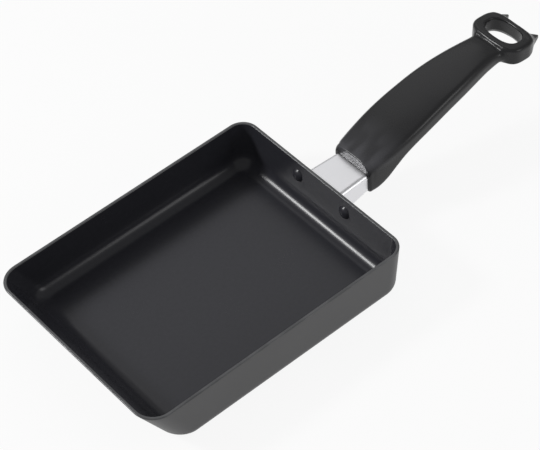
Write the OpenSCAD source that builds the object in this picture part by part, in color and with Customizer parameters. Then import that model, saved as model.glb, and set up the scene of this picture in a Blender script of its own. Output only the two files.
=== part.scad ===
// Tamagoyaki pan: a rectangular frying pan with one sloped wall, a riveted
// steel bracket and a moulded grip with a hanging eye.
// Millimetres, +Z up. The origin lies on the flat base, under the middle of
// the rim, and +X points along the handle.

/* [Pan body] */
// Length of the rim, outside, along the handle
pan_length = 180; // [150:1:220]
// Width of the rim, outside
pan_width = 140; // [110:1:180]
// Height of the rim above the base
pan_height = 32.5; // [30:0.5:45]
// Thickness of the walls, measured level
wall = 2; // [1.5:0.1:3]
// Thickness of the floor
floor_thickness = 2.5; // [2:0.1:4]
// Run of each long wall between base and rim
side_run = 0.5; // [0:0.1:3]
// Run of the wall that carries the handle
handle_run = 3; // [0:0.1:5]
// Run of the sloped wall that the omelette is rolled against
slope_run = 18; // [5:0.5:24]
// Corner radius of the rim at the sloped wall
slope_corner_r = 14; // [10:0.5:20]
// Corner radius of the rim at the handle wall
handle_corner_r = 11; // [9:0.5:18]
// Corner radius of the pan's footprint at the base
base_corner_r = 13; // [10:0.5:20]
// Radius between the base and the walls, outside
base_edge_r = 7; // [4:0.5:8]
// Radius between the floor and the walls, inside
floor_fillet_r = 8; // [5:0.5:10]
// Rounding of the rim's two edges
rim_edge_r = 0.6; // [0.2:0.1:0.7]

/* [Rivets] */
// Distance of each rivet from the channel's side
rivet_setout = 5.6; // [5.2:0.1:8]
// Distance of the rivets below the rim
rivet_drop = 10; // [8.5:0.5:12]
// Diameter of a rivet's shank
rivet_d = 5; // [4:0.1:6]
// Diameter of a rivet's inner head
rivet_head_d = 8.4; // [7:0.1:10]
// Height of a rivet's inner head
rivet_head_h = 2.2; // [1.5:0.1:3]
// Diameter of a rivet's closed end outside
rivet_tail_d = 7.6; // [7:0.1:9]
// Height of a rivet's closed end outside
rivet_tail_h = 1.8; // [1:0.1:2.5]
// Clearance round a rivet's shank
rivet_clearance = 0.05; // [0.02:0.01:0.2]

/* [Handle bracket] */
// Sheet thickness of the bracket
sheet = 1.5; // [1:0.1:2]
// Width of the channel at the pan wall
channel_width = 28.8; // [25:0.2:30]
// Width that the channel loses over its whole length
channel_taper = 3.6; // [0:0.2:5]
// Outside radius of the channel's bends
channel_bend_r = 2.8; // [2.2:0.1:4]
// Depth of the channel's sides at the pan wall
channel_depth = 15; // [12:0.5:16]
// Distance from the rim down to the channel's top
channel_drop = 2.8; // [1.5:0.1:5]
// Length of bracket that shows between the rim and the grip
channel_show = 21.2; // [15:0.2:40]
// Length of the bracket inside the grip
tang_length = 18.5; // [17:0.5:20]
// Depth of the channel's sides at the grip's front
tang_depth = 11.2; // [10:0.2:12]
// Depth of the channel's sides at the tang's end
tang_tip_depth = 3; // [2.5:0.1:4]
// Width of each flange beside the channel
flange_width = 13.5; // [13:0.5:16]
// Height of the flanges
flange_height = 11; // [10:0.5:13]

/* [Grip] */
// Length of the grip from its front face to the hanging eye
grip_length = 106.9; // [90:0.1:140]
// Widest part of the grip
grip_width = 35.4; // [32:0.2:42]
// Width of the grip where it meets the hanging eye
neck_width = 22.8; // [18:0.2:28]
// Rise of the grip's back above the bracket
grip_rise = 24.2; // [10:0.2:26]
// Thickness of the grip's middle, at its edges
grip_thickness = 11.2; // [9:0.2:14]
// Thickness of the grip where it meets the hanging eye, at its edges
neck_thickness = 8.7; // [7:0.1:11]
// Depth of the grip's nose, at its edges
nose_depth = 19.4; // [19:0.2:24]
// Length over which the nose's depth runs out into the grip's even thickness
nose_length = 36.4; // [34:0.2:45]
// Height of the grip's back above the bracket at the nose
nose_cover = 4.2; // [4:0.1:7]
// Thickness of the grip beside the bracket at the nose
nose_wall = 1.85; // [1.6:0.05:4]
// Extra height of the grip's back along its middle line
back_crown = 1.2; // [0:0.1:3]
// Extra depth of the grip's belly along its middle line
belly_crown = 1.2; // [0:0.1:3]
// Radius of the grip's long edges
grip_edge_r = 3.5; // [2:0.1:4]
// Length of the rounding between the grip's front face and its back
nose_run = 4.6; // [2:0.1:6]
// Height of the rounding between the grip's front face and its back
nose_drop = 2.9; // [1:0.1:3]
// Clearance between the bracket and its socket
socket_clearance = 0.25; // [0.1:0.05:0.3]

/* [Hanging eye] */
// Length of the eye along the handle
eye_length = 22.8; // [22:0.2:30]
// Width of the eye
eye_width = 37.6; // [34:0.2:50]
// Thickness of the eye
eye_thickness = 11.2; // [8:0.2:14]
// Length of the eye's opening
opening_length = 14.6; // [10:0.2:15]
// Width of the eye's opening
opening_width = 24.7; // [16:0.2:26]
// Distance of the opening's middle past the eye's middle
opening_shift = 0.5; // [0:0.1:0.8]
// Height of the bevel under the opening
bevel_height = 2.6; // [0.5:0.1:4]
// Width of the bevel under the opening
bevel_width = 1.6; // [0.5:0.1:2]
// Tilt of the eye, its far end down
eye_tilt = 5; // [0:1:15]
// Rounding of the eye's outer edges
eye_edge_r = 2.2; // [0.5:0.1:2.4]
// Rounding of the opening's upper edge
opening_edge_r = 1.2; // [0.4:0.1:1.4]
// Distance between the tips of the two points
points_apart = 24.4; // [18:0.2:28]
// Reach of the two points past the eye
points_reach = 5.6; // [2:0.2:7]
// Thickness of the two points
points_thickness = 7.6; // [3:0.2:8]

/* [Grip fixing] */
// Diameter of the fixing screw
screw_d = 5; // [4:0.5:5]
// Diameter of the screw's head
screw_head_d = 9; // [8.5:0.1:10]
// Height of the screw's head
screw_head_h = 2.4; // [2:0.1:3]
// Distance of the screw behind the grip's front face
screw_setback = 8; // [7:0.5:9]
// Width across the flats of the weld nut
nut_width = 8; // [7.5:0.1:9]
// Height of the weld nut
nut_height = 3.5; // [3:0.1:4]
// Thickness of the spring washer
washer_thickness = 1.2; // [1:0.1:1.6]
// Phenolic left between the washer's seat and the nut
seat_thickness = 2.4; // [2:0.1:3]
// Clearance round the screw, its head and the nut
screw_clearance = 0.3; // [0.1:0.05:0.5]

/* [Hidden] */
lap = 0.01;
past_end = 1;
round_fn = 64;

// Colours
pan_colour = [0.17, 0.17, 0.18];
steel_colour = [0.80, 0.80, 0.82];
phenolic_colour = [0.09, 0.09, 0.10];
screw_colour = [0.62, 0.62, 0.64];

// Steps along a rounded corner, a rounded edge and one edge of the rim
corner_steps = 8;
edge_steps = 7;
rim_steps = 3;
smallest_corner_r = 1.5;

// The walls reach the full size of the rim below its rounding; the handle wall leans out
// by wall_lean, and its outside face lies at wall_x(z)
wall_top = pan_height - rim_edge_r;
wall_lean = atan(handle_run / wall_top);
wall_normal = wall * cos(wall_lean);
function wall_x(z) = pan_length / 2 - handle_run * (1 - z / wall_top);

// Levels and places of the handle's pieces
channel_top = pan_height - channel_drop;
channel_start = wall_x(channel_top);
grip_front = pan_length / 2 + channel_show;
tang_end = grip_front + tang_length;
channel_length = tang_end - channel_start;
taper_angle = atan(channel_taper / 2 / channel_length);
channel_half_at_grip = channel_width / 2 - (grip_front - channel_start) * tan(taper_angle);
rivet_bore_r = rivet_d / 2 + rivet_clearance;
screw_bore_r = screw_d / 2 + rivet_clearance;
fold_start = sheet / 2;
fold_lap = 0.3;
flange_r = 4;
eye_start = grip_front + grip_length;
eye_x = eye_start + eye_length / 2;
screw_x = grip_front + screw_setback;
rivet_height = pan_height - rivet_drop;
rivet_y = channel_width / 2 + rivet_setout;
web_underside = channel_top - sheet;
nut_underside = web_underside - nut_height;
seat_level = nut_underside - seat_thickness;
head_level = seat_level - washer_thickness;

// Blend from a to b
function mix(a, b, share) = a + (b - a) * share;

// Rounded rectangle from x0 to x1, with its own corner radius at either end
function corner(cx, cy, r, start) =
    [for (k = [0:corner_steps])
        let (a = start + 90 * k / corner_steps) [cx + r * cos(a), cy + r * sin(a)]];
function rounded_outline(x0, x1, half, r0, r1) = concat(
    corner(x1 - r1, half - r1, r1, 0),
    corner(x0 + r0, half - r0, r0, 90),
    corner(x0 + r0, r0 - half, r0, 180),
    corner(x1 - r1, r1 - half, r1, 270));

// Level outline of the pan at height z, moved inwards by inset
function pan_outline(z, inset) =
    let (share = max(1 - z / wall_top, 0))
    [for (p = rounded_outline(
            -pan_length / 2 + slope_run * share + inset,
            pan_length / 2 - handle_run * share - inset,
            pan_width / 2 - side_run * share - inset,
            max(mix(slope_corner_r, base_corner_r, share) - inset, smallest_corner_r),
            max(mix(handle_corner_r, base_corner_r, share) - inset, smallest_corner_r)))
        [p[0], p[1], z]];

// Inset of a rounded edge of radius r at a height h above its lower end
function edge_inset(r, h) = r - sqrt(max(r * r - (r - h) * (r - h), 0));

// Levels of the pan, [height, inset], up the outside, over the rim and down the inside
outside_levels = [for (k = [0:edge_steps])
    let (h = base_edge_r * (1 - cos(90 * k / edge_steps))) [h, edge_inset(base_edge_r, h)]];
rim_levels = concat(
    [for (k = [0:rim_steps])
        let (a = 90 * k / rim_steps)
        [pan_height - rim_edge_r * (1 - sin(a)), rim_edge_r * (1 - cos(a))]],
    [for (k = [rim_steps:-1:0])
        let (a = 90 * k / rim_steps)
        [pan_height - rim_edge_r * (1 - sin(a)), wall - rim_edge_r * (1 - cos(a))]]);
inside_levels = [for (k = [edge_steps:-1:0])
    let (h = floor_fillet_r * (1 - cos(90 * k / edge_steps)))
    [floor_thickness + h, wall + edge_inset(floor_fillet_r, h)]];
pan_levels = concat(outside_levels, rim_levels, inside_levels);

// Solid through a list of closed rings that have the same number of points
module loft(rings) {
    n = len(rings[0]);
    points = [for (ring = rings) each ring];
    sides = [for (i = [0:len(rings) - 2], k = [0:n - 1])
        [i * n + k, i * n + (k + 1) % n, (i + 1) * n + (k + 1) % n, (i + 1) * n + k]];
    first = [for (k = [0:n - 1]) n - 1 - k];
    last = [for (k = [0:n - 1]) (len(rings) - 1) * n + k];
    polyhedron(points, [for (f = concat([first], sides, [last])) [for (k = [len(f) - 1:-1:0]) f[k]]],
        convexity = 6);
}

// Place on the handle wall's outside face at a height z, local X pointing straight out of it
module on_wall(z) {
    translate([wall_x(z), 0, z])
        rotate([0, wall_lean, 0])
            children();
}

// Pan
module pan_body() {
    color(pan_colour)
        difference() {
            loft([for (level = pan_levels) pan_outline(level[0], level[1])]);
            for (side = [-1, 1])
                on_wall(rivet_height)
                    translate([-wall_normal - past_end, side * rivet_y, 0])
                        rotate([0, 90, 0])
                            cylinder(h = wall_normal + 2 * past_end, r = rivet_bore_r, $fn = round_fn);
        }
}

// Low dome of a given diameter and height, its flat face at x = 0 and its top towards -X
module dome(d, h) {
    r = (d * d / 4 + h * h) / (2 * h);
    intersection() {
        translate([r - h, 0, 0])
            sphere(r = r, $fn = round_fn);
        translate([-h - past_end, 0, 0])
            rotate([0, 90, 0])
                cylinder(h = h + past_end, r = d / 2, $fn = round_fn);
    }
}

// Rivet with its domed head inside the pan and its closed end on the bracket's flange
module rivet(side) {
    color(pan_colour)
        on_wall(rivet_height)
            translate([0, side * rivet_y, 0])
                union() {
                    translate([-wall_normal, 0, 0])
                        dome(rivet_head_d, rivet_head_h);
                    translate([-wall_normal - lap, 0, 0])
                        rotate([0, 90, 0])
                            cylinder(h = wall_normal + sheet + 2 * lap, r = rivet_d / 2, $fn = round_fn);
                    translate([sheet, 0, 0])
                        mirror([1, 0, 0])
                            dome(rivet_tail_d, rivet_tail_h);
                }
}

// One bent edge of the channel: profile in the YZ plane with the side's outer face at y = 0
// and the web's top at z = 0, grown by a clearance on every face
module bent_profile(reach, grow) {
    bend = channel_bend_r;
    inner_r = bend - sheet - grow;
    bottom = -channel_depth - grow;
    difference() {
        union() {
            translate([-bend, -bend])
                circle(r = bend + grow, $fn = round_fn);
            translate([-reach, -bend])
                square([reach - bend, bend + grow]);
            translate([-bend, bottom])
                square([bend + grow, -bend - bottom]);
        }
        translate([-bend, -bend])
            circle(r = inner_r, $fn = round_fn);
        translate([-reach - past_end, bottom - past_end])
            square([reach + past_end - bend, -sheet - grow - bottom + past_end]);
        translate([-reach - past_end, bottom - past_end])
            square([reach + past_end - sheet - grow, -bend - bottom + past_end]);
    }
}

// Side view of the channel: level top, sides that grow shallower towards the tang's end
module channel_side_view(grow) {
    polygon([
        [wall_x(channel_top - channel_depth) + fold_start, channel_top - channel_depth - grow],
        [grip_front, channel_top - tang_depth - grow],
        [tang_end + grow, channel_top - tang_tip_depth - grow],
        [tang_end + grow, channel_top + grow],
        [channel_start + sheet, channel_top + grow],
        [channel_start + sheet, channel_top - channel_bend_r],
        [wall_x(channel_top - channel_bend_r) + fold_start, channel_top - channel_bend_r]]);
}

// Tapered channel, open below, from the pan wall to the tang's end: two halves that meet
// on the middle line
module channel(grow) {
    for (side = [0, 1])
        mirror([0, side, 0])
            intersection() {
                translate([0, channel_width, 0])
                    rotate([90, 0, 0])
                        linear_extrude(height = channel_width)
                            channel_side_view(grow);
                translate([channel_start, channel_width / 2, channel_top])
                    rotate([0, 0, -taper_angle])
                        translate([-channel_taper, 0, 0])
                            rotate([90, 0, 90])
                                linear_extrude(height = channel_length + 3 * channel_taper)
                                    bent_profile(channel_width / 2 + past_end, grow);
            }
}

// Flange beside the channel, folded outwards to lie on the pan wall
module flange(side) {
    inner = channel_width / 2 - sheet - fold_lap;
    outer = channel_width / 2 + flange_width;
    on_wall(rivet_height)
        mirror([0, side, 0])
            rotate([90, 0, 90])
                linear_extrude(height = sheet)
                    union() {
                        translate([inner, -flange_height / 2])
                            square([outer - flange_r - inner, flange_height]);
                        translate([inner, flange_r - flange_height / 2])
                            square([outer - inner, flange_height - 2 * flange_r]);
                        for (up = [-1, 1])
                            translate([outer - flange_r, up * (flange_height / 2 - flange_r)])
                                circle(r = flange_r, $fn = round_fn);
                    }
}

// Bracket: one folded steel sheet, riveted to the pan and screwed into the grip
module handle_bracket() {
    color(steel_colour)
        difference() {
            union() {
                channel(0);
                for (side = [0, 1])
                    flange(side);
            }
            for (side = [-1, 1])
                on_wall(rivet_height)
                    translate([-past_end, side * rivet_y, 0])
                        rotate([0, 90, 0])
                            cylinder(h = sheet + 2 * past_end, r = rivet_bore_r, $fn = round_fn);
        }
}

// Smooth curve through stations [place, value], read at a place x
function slope_at(s, i) =
    let (a = max(i - 1, 0), b = min(i + 1, len(s) - 1))
    (s[b][1] - s[a][1]) / (s[b][0] - s[a][0]);
function station_before(s, x, i = 0) =
    i >= len(s) - 2 || x < s[i + 1][0] ? i : station_before(s, x, i + 1);
function curve(s, x) =
    let (
        i = station_before(s, x),
        h = s[i + 1][0] - s[i][0],
        t = (x - s[i][0]) / h,
        m0 = slope_at(s, i) * h,
        m1 = slope_at(s, i + 1) * h)
    s[i][1] * (2 * pow(t, 3) - 3 * t * t + 1) + m0 * (pow(t, 3) - 2 * t * t + t)
    + s[i + 1][1] * (3 * t * t - 2 * pow(t, 3)) + m1 * (pow(t, 3) - t * t);

// Stations along the grip, [share of its length, size], blended between the named sizes
nose_half = channel_half_at_grip + socket_clearance + nose_wall;
wide_half = grip_width / 2;
neck_half = neck_width / 2;
back_stations = [for (k = [[0, 0], [0.12, 0.2], [0.23, 0.38], [0.34, 0.545], [0.455, 0.7],
                           [0.566, 0.83], [0.68, 0.92], [0.79, 0.98], [0.89, 1], [1, 0.975]])
    [k[0], channel_top + mix(nose_cover, grip_rise, k[1])]];
half_stations = concat(
    [for (k = [[0, 0], [0.05, 0.32], [0.12, 0.64], [0.23, 0.95], [0.34, 1]])
        [k[0], mix(nose_half, wide_half, k[1])]],
    [for (k = [[0.455, 0.92], [0.566, 0.81], [0.68, 0.65], [0.79, 0.41], [0.9, 0.155], [1, 0]])
        [k[0], mix(neck_half, wide_half, k[1])]]);
thickness_stations = [for (k = [[0, 1], [0.455, 1], [0.68, 0.73], [0.79, 0.59], [0.9, 0.27], [1, 0]])
    [k[0], mix(neck_thickness, grip_thickness, k[1])]];

// Extra depth of the nose, [share of the nose's length, share of the extra depth]
belly_stations = [[0, 0.88], [0.18, 1], [0.35, 0.85], [0.515, 0.5], [0.68, 0.2], [0.85, 0.05], [1, 0]];

function grip_top(u) = curve(back_stations, u);
function grip_half(u) = curve(half_stations, u);
function grip_belly(s) = s < nose_length ? max(curve(belly_stations, s / nose_length), 0) : 0;
function grip_depth(s, u) =
    curve(thickness_stations, u) + (nose_depth - grip_thickness) * grip_belly(s);

// Cross-section of the grip: rounded edges, a crowned back and a crowned belly
section_steps = 5;
crown_shares = [0.6, 0.3, 0, -0.3, -0.6];
function grip_corner(cy, cz, r, start) =
    [for (k = [0:section_steps])
        let (a = start + 90 * k / section_steps) [cy + r * cos(a), cz + r * sin(a)]];
function grip_section(x, half, top, bottom, r) =
    let (
        inner = half - r,
        right_top = grip_corner(inner, top - r, r, 0),
        back = [for (share = crown_shares) [share * inner, top]],
        left_top = grip_corner(-inner, top - r, r, 90),
        left_bottom = grip_corner(-inner, bottom + r, r, 180),
        belly = [for (share = crown_shares) [-share * inner, bottom]],
        right_bottom = grip_corner(inner, bottom + r, r, 270),
        middle = (top + bottom) / 2)
    [for (p = concat(right_top, back, left_top, left_bottom, belly, right_bottom))
        let (crown = 1 - pow(p[0] / half, 2))
        [x, p[0], p[1] + (p[1] > middle ? back_crown : -belly_crown) * crown]];

// Sections of the grip: its rounded nose, then even steps and a short flare to inside the eye
nose_side_share = 0.35;
nose_edge_share = 0.6;
nose_steps = 6;
length_steps = 32;
neck_steps = 5;
eye_overlap = 2.4;
neck_run = 3.6;
neck_flare = 1.5;
neck_start = grip_length - neck_run;
nose_places = [for (k = [0:nose_steps - 1]) nose_run * (1 - cos(90 * k / nose_steps))];
length_places = [for (k = [0:length_steps])
    nose_run + (neck_start - nose_run) * k / length_steps];
neck_places = [for (k = [1:neck_steps]) neck_start + neck_run * sin(90 * k / neck_steps)];
function grip_ring(s) =
    let (
        u = min(s / grip_length, 1),
        cut = s < nose_run ? nose_drop * edge_inset(1, s / nose_run) : 0,
        side_cut = cut * nose_side_share,
        past = min(max(s - neck_start, 0) / neck_run, 1),
        flare = neck_flare * (1 - sqrt(1 - past * past)))
    grip_section(grip_front + s, grip_half(u) - side_cut + flare, grip_top(u) - cut + flare / 2,
        grip_top(u) - grip_depth(s, u) + side_cut - flare / 2, grip_edge_r - cut * nose_edge_share);

// Super-ellipse of half sizes a and b at an angle t
function oval(a, b, n, t) = [
    a * sign(cos(t)) * pow(abs(cos(t)), 2 / n),
    b * sign(sin(t)) * pow(abs(sin(t)), 2 / n)];

// Hanging eye: a bar swept round the opening, its outer edges rounded and its underside
// bevelled towards the opening. Each profile point is [side, inset, height], where side is
// 1 on the outer wall and 0 on the opening's wall.
oval_steps = 72;
eye_bow = 3.2;
opening_bow = 2.6;
round_angles = [0, 22.5, 45, 67.5, 90];

// The far bar is the eye's thinnest, and limits its roundings and its bevel
far_bar = (eye_length - opening_length) / 2 - opening_shift;
upper_r = min(eye_edge_r, far_bar * 0.6);
lower_r = upper_r * 0.6;
rim_r = min(opening_edge_r, far_bar * 0.35);
bevel = min(bevel_width, far_bar * 0.5);
function quarter(side, r, level, up) =
    [for (a = round_angles) [side, r * (1 - cos(a)), level - up * r * (1 - sin(a))]];
function reversed(list) = [for (k = [len(list) - 1:-1:0]) list[k]];
function eye_profile() =
    let (h = eye_thickness / 2)
    concat(
        quarter(1, lower_r, -h, -1),
        [[0, bevel, -h], [0, 0, bevel_height - h]],
        quarter(0, rim_r, h, 1),
        reversed(quarter(1, upper_r, h, 1)));
function eye_ring(t) =
    let (
        out = oval(eye_length / 2, eye_width / 2, eye_bow, t),
        in = oval(opening_length / 2, opening_width / 2, opening_bow, t) + [opening_shift, 0],
        across = (out - in) / norm(out - in))
    [for (p = eye_profile())
        let (q = p[0] == 1 ? out - across * p[1] : in + across * p[1]) [q[0], q[1], p[2]]];
module eye_body() {
    rings = [for (k = [0:oval_steps - 1]) eye_ring(360 * k / oval_steps)];
    n = len(rings[0]);
    points = [for (ring = rings) each ring];
    faces = [for (i = [0:oval_steps - 1], k = [0:n - 1])
        let (j = (i + 1) % oval_steps)
        [i * n + k, j * n + k, j * n + (k + 1) % n, i * n + (k + 1) % n]];
    polyhedron(points, faces, convexity = 6);
}

// The two small points on the eye's far edge
module eye_point(side) {
    tip_r = 0.8;
    tip_thickness = 2.4;
    tip_level = -1.3;
    root_r = 1;
    root_inset = min(2.2, far_bar - root_r);
    inner_spread = 3.6;
    outer_spread = 2.9;
    outer_inset = 1.45;
    mirror([0, side, 0])
        translate([eye_length / 2, points_apart / 2, 0])
            hull() {
                translate([points_reach - tip_r, 0, tip_level])
                    cylinder(h = tip_thickness, r = tip_r, $fn = 16);
                translate([-root_inset, -inner_spread, -points_thickness / 2])
                    cylinder(h = points_thickness, r = root_r, $fn = 16);
                translate([-root_inset - outer_inset, outer_spread, -points_thickness / 2])
                    cylinder(h = points_thickness, r = root_r, $fn = 16);
            }
}

// Middle of the eye, which stands a little proud of the grip's back
eye_step = 1.6;
eye_z = grip_top(1) + eye_step - eye_thickness / 2;

module grip_outside() {
    union() {
        loft([for (s = concat(nose_places, length_places, neck_places, [grip_length + eye_overlap]))
            grip_ring(s)]);
        translate([eye_x, 0, eye_z])
            rotate([0, eye_tilt, 0]) {
                eye_body();
                for (side = [0, 1])
                    eye_point(side);
            }
    }
}

// Socket for the bracket, pocket for the nut and way for the screw
module grip_cuts() {
    channel(socket_clearance);
    pocket = nut_width + 2 * screw_clearance;
    translate([screw_x - pocket / 2, -pocket / 2, nut_underside - screw_clearance])
        cube([pocket, pocket, nut_height + screw_clearance]);
    translate([screw_x, 0, 0])
        cylinder(h = web_underside, r = screw_d / 2 + screw_clearance, $fn = round_fn);
    translate([screw_x, 0, 0])
        cylinder(h = seat_level, r = screw_head_d / 2 + screw_clearance, $fn = round_fn);
}

// Grip: one phenolic moulding with its hanging eye
module grip() {
    color(phenolic_colour)
        difference() {
            grip_outside();
            grip_cuts();
        }
}

// Square nut welded under the channel's web
module weld_nut() {
    color(steel_colour)
        difference() {
            translate([screw_x - nut_width / 2, -nut_width / 2, nut_underside])
                cube([nut_width, nut_width, nut_height]);
            translate([screw_x, 0, nut_underside - past_end])
                cylinder(h = nut_height + 2 * past_end, r = screw_bore_r, $fn = round_fn);
        }
}

// Pan-head screw from below, with a cross recess
module grip_screw() {
    tip_gap = 0.4;
    slot_w = 1.2;
    slot_l = screw_head_d * 0.55;
    slot_depth = screw_head_h * 0.6;
    color(screw_colour)
        translate([screw_x, 0, head_level])
            difference() {
                union() {
                    translate([0, 0, -screw_head_h])
                        cylinder(h = screw_head_h, r = screw_head_d / 2, $fn = round_fn);
                    cylinder(h = web_underside - tip_gap - head_level, r = screw_d / 2, $fn = round_fn);
                }
                for (turn = [0, 90])
                    rotate([0, 0, turn])
                        translate([-slot_l / 2, -slot_w / 2, -screw_head_h - past_end])
                            cube([slot_l, slot_w, slot_depth + past_end]);
            }
}

// Split spring washer between the screw's head and the phenolic
module spring_washer() {
    split = 1;
    inside_head = 0.2;
    color(steel_colour)
        translate([screw_x, 0, head_level])
            difference() {
                cylinder(h = washer_thickness, r = screw_head_d / 2 - inside_head, $fn = round_fn);
                translate([0, 0, -past_end])
                    cylinder(h = washer_thickness + 2 * past_end, r = screw_bore_r, $fn = round_fn);
                translate([0, -split / 2, -past_end])
                    cube([screw_head_d, split, washer_thickness + 2 * past_end]);
            }
}

pan_body();
handle_bracket();
rivet(1);  // rivet_left
rivet(-1);  // rivet_right
grip();
weld_nut();
grip_screw();
spring_washer();
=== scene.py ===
# %% [markdown]
# # A tamagoyaki pan, dressed in Blender
#
# The pan is a rectangular frying pan for rolled omelettes. A measured model of it already exists,
# with one solid for each part, in metres: the long side of the pan lies along X, the handle points
# towards +X, and the origin is on the flat base. This lesson builds the looks around that model.
# Every piece made here sits exactly where its measured solid is. The first cell loads the model
# and reads the box of a measured part.

# %% Load the measured model
from math import asin, atan, copysign, cos, pi, radians, sin, tan

import bmesh
import bpy
import numpy as np
from mathutils import Matrix, Vector
from mathutils.bvhtree import BVHTree


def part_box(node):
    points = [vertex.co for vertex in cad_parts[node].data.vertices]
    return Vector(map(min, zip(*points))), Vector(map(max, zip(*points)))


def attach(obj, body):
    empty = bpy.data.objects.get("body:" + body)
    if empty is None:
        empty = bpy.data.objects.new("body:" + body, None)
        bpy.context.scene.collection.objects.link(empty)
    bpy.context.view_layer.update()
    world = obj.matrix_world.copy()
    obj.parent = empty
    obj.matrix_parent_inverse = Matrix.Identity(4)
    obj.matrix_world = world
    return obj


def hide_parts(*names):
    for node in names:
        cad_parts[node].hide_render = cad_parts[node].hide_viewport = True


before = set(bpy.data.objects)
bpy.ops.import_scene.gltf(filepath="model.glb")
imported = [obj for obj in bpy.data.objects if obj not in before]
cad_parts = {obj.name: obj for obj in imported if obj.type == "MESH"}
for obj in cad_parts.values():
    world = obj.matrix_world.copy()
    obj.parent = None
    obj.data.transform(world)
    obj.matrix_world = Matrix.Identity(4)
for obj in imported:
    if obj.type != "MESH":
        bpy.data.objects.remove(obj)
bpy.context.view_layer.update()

MM = 0.001
print("nodes:", sorted(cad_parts))

# %% [markdown]
# ## The camera
#
# A camera can be placed by eye, or worked out from the object's known corners, as here. The numbers
# give the direction from the object back to the camera, a small roll, the distance, and the long
# lens of a product photograph. The camera's axes are built from them as three vectors, which is
# clearer than three angles.

# %% Camera
def add_object(name, data):
    made = bpy.data.objects.new(name, data)
    bpy.context.scene.collection.objects.link(made)
    return made


AZIMUTH = radians(-35.8375)
ELEVATION = radians(47.8916)
ROLL = radians(-5.9311)
DISTANCE = 1.236186
LENS = 147.594
AIM_RIGHT, AIM_UP = 0.036078, 0.042359

towards_camera = Vector((
    sin(AZIMUTH) * cos(ELEVATION),
    -cos(AZIMUTH) * cos(ELEVATION),
    sin(ELEVATION)))
level_right = Vector((cos(AZIMUTH), sin(AZIMUTH), 0))
level_up = towards_camera.cross(level_right)
camera_right = cos(ROLL) * level_right + sin(ROLL) * level_up
camera_up = cos(ROLL) * level_up - sin(ROLL) * level_right

camera = add_object("camera", bpy.data.cameras.new("camera"))
camera.data.lens = LENS
camera.data.clip_start, camera.data.clip_end = 0.05, 20
turn = Matrix((camera_right, camera_up, towards_camera)).transposed().to_4x4()
place = camera_right * AIM_RIGHT + camera_up * AIM_UP + towards_camera * DISTANCE
camera.matrix_world = Matrix.Translation(place) @ turn
bpy.context.scene.camera = camera
print("camera at", [round(c, 3) for c in place])

# %% [markdown]
# ## Node trees as sums
#
# Materials and Geometry Nodes are both trees of small nodes. Clicking them together is fine for a
# few, but a formula is easier to read as a formula. The class below wraps one socket and adds a
# Math node for each operator, so that `1 - mask * 0.5` builds two nodes. One method makes every
# other kind of node: it takes the node's type, the values or links of its sockets, and its settings
# by name.

# %% A socket that can be added and multiplied
def maths(operation, swapped=False):
    """A method that adds one Math node. Swapped puts the socket itself last."""
    def method(self, *others):
        values = (*others, self) if swapped else (self, *others)
        return self.graph.node("ShaderNodeMath", dict(enumerate(values)), operation=operation)
    return method


class Wire:
    """An output socket. Arithmetic on it adds Math nodes to its tree."""

    __add__, __radd__ = maths("ADD"), maths("ADD", swapped=True)
    __sub__, __rsub__ = maths("SUBTRACT"), maths("SUBTRACT", swapped=True)
    __mul__, __rmul__ = maths("MULTIPLY"), maths("MULTIPLY", swapped=True)
    __truediv__ = maths("DIVIDE")
    __gt__, __lt__ = maths("GREATER_THAN"), maths("LESS_THAN")
    floor, remainder = maths("FLOOR"), maths("MODULO")
    at_least, at_most = maths("MAXIMUM"), maths("MINIMUM")
    cosine, sine = maths("COSINE"), maths("SINE")

    def __init__(self, graph, socket):
        self.graph = graph
        self.socket = socket

    def ramp(self, low, high, to_low=0.0, to_high=1.0):
        """A soft step from one value to another."""
        return self.graph.node("ShaderNodeMapRange", {
            "Value": self, "From Min": low, "From Max": high, "To Min": to_low, "To Max": to_high},
            interpolation_type="SMOOTHSTEP")


class Graph:
    """A node tree, shader or geometry, written from Python."""

    def __init__(self, tree):
        self.tree = tree

    def node(self, kind, sockets=None, out=0, **settings):
        """Add a node, and give the output that is asked for."""
        made = self.tree.nodes.new(kind)
        for name, value in settings.items():
            setattr(made, name, value)
        for name, value in (sockets or {}).items():
            socket = self.find(made.inputs, name)
            if isinstance(value, Wire):
                self.tree.links.new(value.socket, socket)
            else:
                socket.default_value = value
        return Wire(self, self.find(made.outputs, out)) if made.outputs else None

    @staticmethod
    def find(sockets, name):
        if isinstance(name, int):
            return sockets[name]
        return next(s for s in sockets if s.enabled and name in (s.name, s.identifier))

    def blend(self, factor, low, high):
        """Colour between two colours, each three numbers or a socket."""
        low, high = (c if isinstance(c, Wire) else (*c, 1) for c in (low, high))
        sockets = {"Factor_Float": factor, "A_Color": low, "B_Color": high}
        return self.node("ShaderNodeMix", sockets, "Result_Color", data_type="RGBA")

    def parts(self, vector):
        return [self.node("ShaderNodeSeparateXYZ", {0: vector}, axis) for axis in "XYZ"]

    def vector(self, x, y, z):
        return self.node("ShaderNodeCombineXYZ", {"X": x, "Y": y, "Z": z})


print("node helpers ready")

# %% [markdown]
# ## Finishes
#
# Each real surface gets one material. All of them start from the same few facts: a plain colour,
# how rough it is, whether it is bare metal, and a fine relief that breaks up the reflections. A
# recipe gives these facts as the sockets of one shader, and the helper makes the material. The
# patterns are read from Object coordinates, so they stay on the piece when it moves.

# %% Material helpers
def empty_graph(block):
    """The cleared node tree of a new material or world."""
    block.use_nodes = True
    block.node_tree.nodes.clear()
    return Graph(block.node_tree)


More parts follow.
